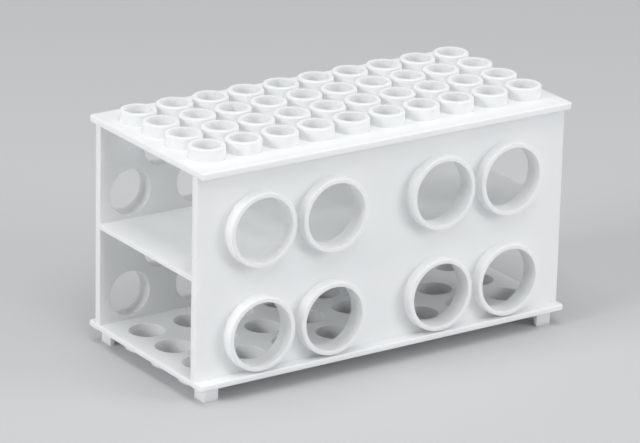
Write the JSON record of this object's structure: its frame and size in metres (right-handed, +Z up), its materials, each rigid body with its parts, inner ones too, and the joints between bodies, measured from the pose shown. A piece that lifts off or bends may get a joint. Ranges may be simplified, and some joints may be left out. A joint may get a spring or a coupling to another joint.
{
  "type": "tube rack",
  "caption": "One-piece plastic rack for laboratory tubes, a box with a middle shelf, open at both ends, with a different size of collared tube hole on each of its four long faces.",
  "frame": {"origin": "middle of the rack's outline at floor level, under the feet", "axes": "+X along the rack from its left end to its right end as seen from the front, +Y from the front face with the largest holes to the back face, +Z up, square to the face with the smallest holes"},
  "size_m": [0.198, 0.0952, 0.1137],
  "materials": {
    "white_plastic": "moulded white polypropylene, smooth and slightly satin"
  },
  "bodies": {
    "root": {"rack": "white_plastic"}
  },
  "joints": []
}
